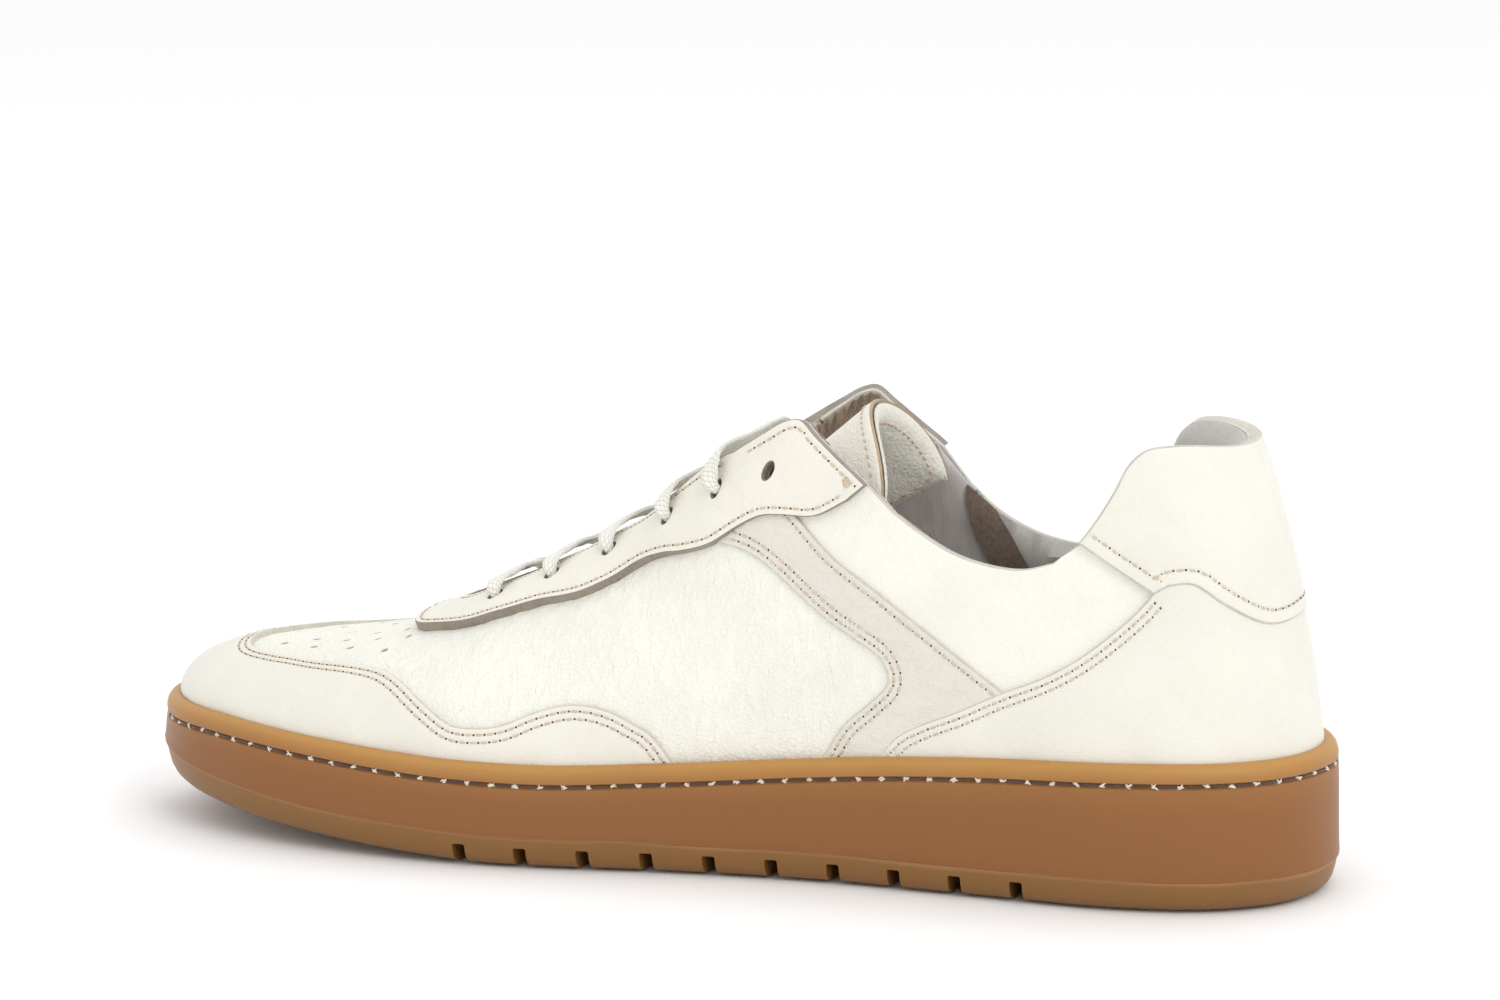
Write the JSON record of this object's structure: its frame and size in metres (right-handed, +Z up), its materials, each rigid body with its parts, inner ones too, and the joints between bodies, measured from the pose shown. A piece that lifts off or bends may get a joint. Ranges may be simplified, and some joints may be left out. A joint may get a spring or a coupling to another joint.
{
  "type": "court shoe",
  "caption": "Low-cut laced leather court shoe for the right foot: gum rubber cup sole, padded collar, hinged padded tongue, flat laces tucked inside.",
  "frame": {"origin": "centre of the bounding box in plan, on the ground plane under the sole", "axes": "+X from toe to heel along the shoe, +Y to the outer (lateral) side of the foot, +Z up"},
  "size_m": [0.3, 0.1069, 0.111],
  "materials": {
    "gum_rubber": "moulded gum rubber, satin",
    "eva_foam": "foamed filler, matte",
    "fibre_board": "pressed fibre board",
    "soft_lining": "brushed lining",
    "cream_leather": "tumbled leather, fine grain",
    "lining_textile": "woven grey lining",
    "brown_suede": "suede",
    "open_foam": "open-cell padding foam",
    "smooth_leather": "smooth coated leather",
    "stripe_leather": "smooth coated leather",
    "stay_leather": "thick coated leather, raw edges",
    "lace_cotton": "flat woven cotton",
    "aglet_plastic": "clear wrapped film over cotton"
  },
  "bodies": {
    "shoe": {"outsole": "gum_rubber", "midsole_filler": "eva_foam", "lasting_board": "fibre_board", "sock_liner": "soft_lining", "vamp": "cream_leather", "quarter_medial": "cream_leather", "quarter_lateral": "cream_leather", "vamp_lining": "lining_textile", "quarter_lining": "soft_lining", "lining_band_medial": "brown_suede", "lining_band_lateral": "brown_suede", "toe_puff": "fibre_board", "heel_counter": "fibre_board", "collar_foam": "open_foam", "toe_guard": "smooth_leather", "stripe_medial": "stripe_leather", "stripe_lateral": "stripe_leather", "heel_foxing": "smooth_leather", "heel_tab": "smooth_leather", "lace_stay": "stay_leather", "lace": "lace_cotton", "lace_tail_medial": "lace_cotton", "lace_tail_lateral": "lace_cotton", "aglet_medial": "aglet_plastic", "aglet_lateral": "aglet_plastic"},
    "tongue": {"tongue_leather": "cream_leather", "tongue_foam": "open_foam", "tongue_lining": "lining_textile", "tongue_facing": "cream_leather"}
  },
  "joints": [
    {"name": "tongue_hinge", "type": "hinge", "parent": "shoe", "child": "tongue", "pos_m": [-0.072, -0.006, 0.0445], "axis": [0, 1, 0], "range_deg": [0, 12]}
  ]
}
